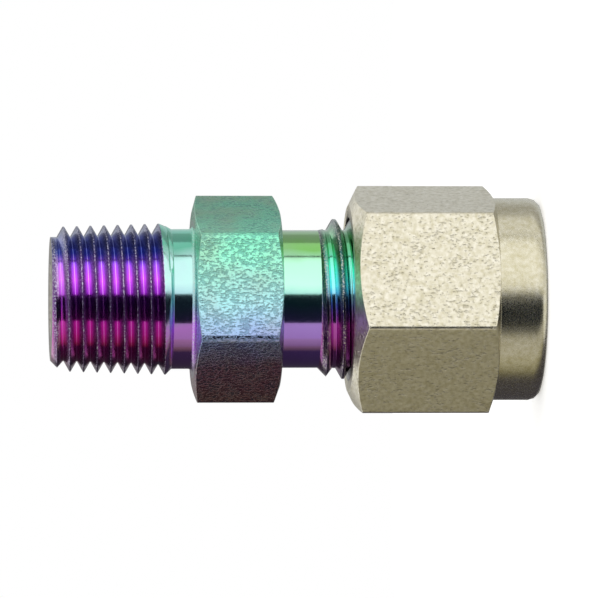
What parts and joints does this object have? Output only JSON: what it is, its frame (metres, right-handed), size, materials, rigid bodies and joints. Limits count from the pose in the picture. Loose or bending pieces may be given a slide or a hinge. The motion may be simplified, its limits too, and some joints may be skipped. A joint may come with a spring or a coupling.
{
  "type": "compression tube fitting, male connector",
  "caption": "Male connector with a heat-tinted hexagonal body, taper pipe thread, coupling nut and ferrules that grip a tube.",
  "frame": {"origin": "centre of the nut's end face, where the tube goes in", "axes": "+Z along the bore axis towards the pipe thread; two flats of the body's hexagon face -Y and +Y"},
  "size_m": [0.0162, 0.0152, 0.034],
  "materials": {
    "tinted_steel": "polished stainless steel with a thin interference film, green on one side and purple on the other",
    "nut_steel": "satin stainless steel with fine pits",
    "ferrule_steel": "turned stainless steel"
  },
  "bodies": {
    "connector_body": {"connector_body": "tinted_steel"},
    "ferrules": {"front_ferrule": "ferrule_steel", "back_ferrule": "ferrule_steel"},
    "nut": {"nut": "nut_steel"}
  },
  "joints": [
    {"name": "ferrule_advance", "type": "slide", "parent": "connector_body", "child": "ferrules", "axis": [0, 0, 1], "range_m": [-0.0039, 0.0023]},
    {"name": "nut_turn", "type": "hinge", "parent": "ferrules", "child": "nut", "pos_m": [0, 0, 0], "axis": [0, 0, 1], "range_deg": [-1080, 630]}
  ],
  "couplings": [
    {"joint": "ferrule_advance", "follows": "nut_turn", "m_per_rad": 0.00020213}
  ]
}
